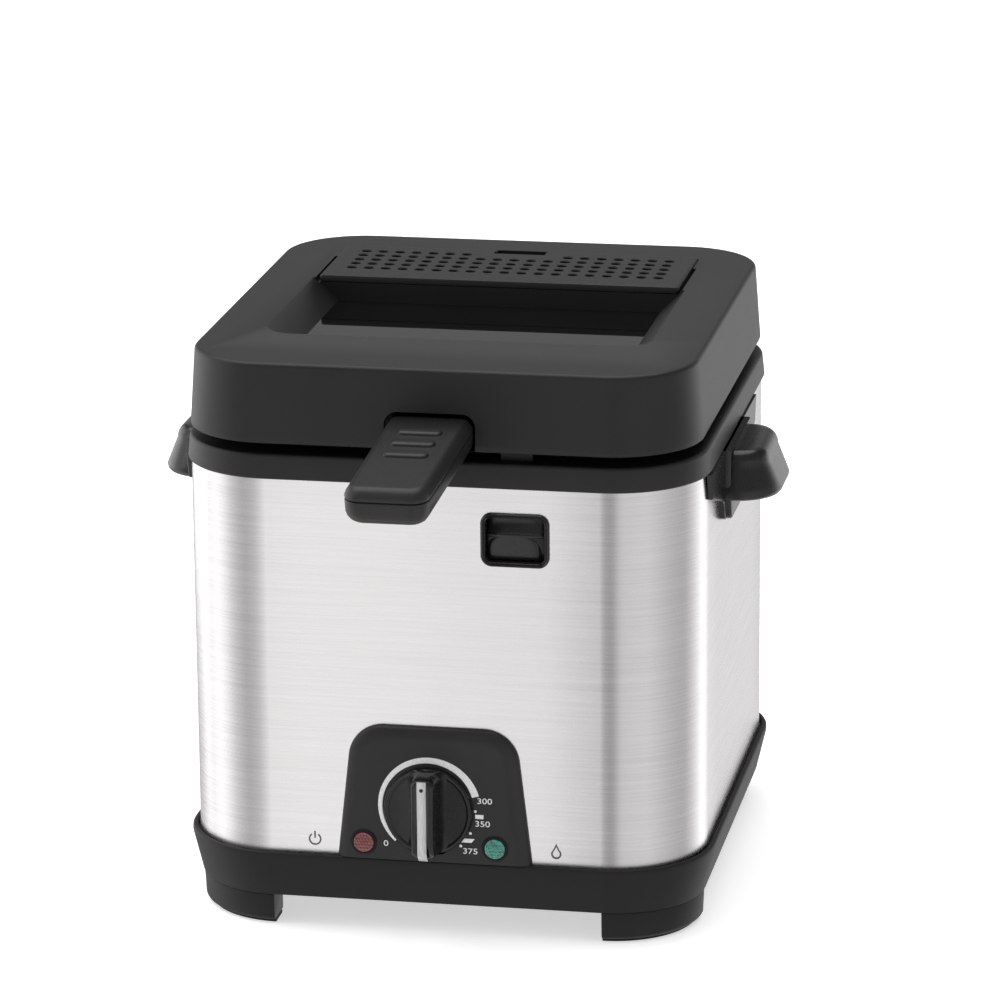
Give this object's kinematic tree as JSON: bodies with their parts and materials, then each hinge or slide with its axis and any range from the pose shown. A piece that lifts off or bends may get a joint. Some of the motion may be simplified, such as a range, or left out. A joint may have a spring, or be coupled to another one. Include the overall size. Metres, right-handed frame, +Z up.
{
  "type": "deep fryer",
  "caption": "Compact square electric deep fryer with steel body, hinged windowed lid, lift-out filter, frying basket with front handle, dial and lamps.",
  "frame": {"origin": "middle of the whole footprint, on the surface the fryer stands on", "axes": "+Z up, front with the dial towards -Y, +X to the right of someone facing the front"},
  "size_m": [0.244, 0.316, 0.2254],
  "materials": {
    "brushed_steel": "horizontally brushed",
    "bright_steel": "bright zinc plated or stainless wire",
    "charcoal_plastic": "fine moulded texture",
    "gloss_black_plastic": "polished",
    "rubber": "matte",
    "cast_aluminium": "satin",
    "element_sheath": "oxidised sheath",
    "copper_bulb": "drawn copper",
    "white_insulator": "moulded insulator",
    "red_lens": "clear moulded lens",
    "green_lens": "clear moulded lens",
    "window_glass": "clear",
    "carbon_felt": "felt",
    "silver_inlay": "satin silver"
  },
  "bodies": {
    "body": {"steel_wrap": "brushed_steel", "base_skirt": "charcoal_plastic", "base_plate": "charcoal_plastic", "corner_feet": "charcoal_plastic", "foot_pads": "rubber", "base_screws": "bright_steel", "top_collar": "charcoal_plastic", "oil_bowl": "cast_aluminium", "heater_plate": "cast_aluminium", "heating_element": "element_sheath", "heat_shield": "bright_steel", "thermal_fuse": "white_insulator", "terminal_block": "white_insulator", "cord_gland": "gloss_black_plastic", "thermostat": "cast_aluminium", "thermostat_bulb": "copper_bulb", "control_panel": "charcoal_plastic", "panel_screws": "bright_steel", "lamp_red": "red_lens", "lamp_green": "green_lens", "lamp_holders": "white_insulator", "button_bezel": "gloss_black_plastic", "button_spring": "bright_steel", "latch_bracket": "bright_steel", "left_bracket": "gloss_black_plastic", "left_grip": "gloss_black_plastic", "right_bracket": "gloss_black_plastic", "right_grip": "gloss_black_plastic", "grip_screws": "bright_steel", "hinge_bracket": "charcoal_plastic", "hinge_pin": "bright_steel"},
    "lid": {"lid_shell": "charcoal_plastic", "lid_hinge": "charcoal_plastic", "lid_catch": "charcoal_plastic", "window_glass": "window_glass", "lid_gasket": "rubber"},
    "filter_cassette": {"filter_cover": "charcoal_plastic", "filter_pad": "carbon_felt", "filter_mesh": "bright_steel"},
    "basket": {"basket": "bright_steel", "basket_strap": "bright_steel", "handle_upper": "charcoal_plastic", "handle_lower": "charcoal_plastic", "handle_screws": "bright_steel"},
    "dial": {"dial_knob": "gloss_black_plastic", "dial_inlay": "silver_inlay"},
    "button": {"release_button": "gloss_black_plastic", "latch_slider": "bright_steel"}
  },
  "joints": [
    {"name": "lid_swing", "type": "hinge", "parent": "body", "child": "lid", "pos_m": [0, 0.152, 0.1902], "axis": [-1, 0, 0], "range_deg": [0, 88]},
    {"name": "filter_lift", "type": "slide", "parent": "lid", "child": "filter_cassette", "axis": [0, 0, 1], "range_m": [0, 0.03]},
    {"name": "basket_lift", "type": "slide", "parent": "body", "child": "basket", "axis": [0, 0, 1], "range_m": [0, 0.0015]},
    {"name": "dial_turn", "type": "hinge", "parent": "body", "child": "dial", "pos_m": [-0.0016, -0.0756, 0.0518], "axis": [0, 1, 0], "range_deg": [-140, 140]},
    {"name": "button_press", "type": "slide", "parent": "body", "child": "button", "axis": [0, 1, 0], "range_m": [0, 0.003], "stiffness_N_per_m": 600, "springref_m": -0.001, "deforming": ["button_spring"]}
  ]
}
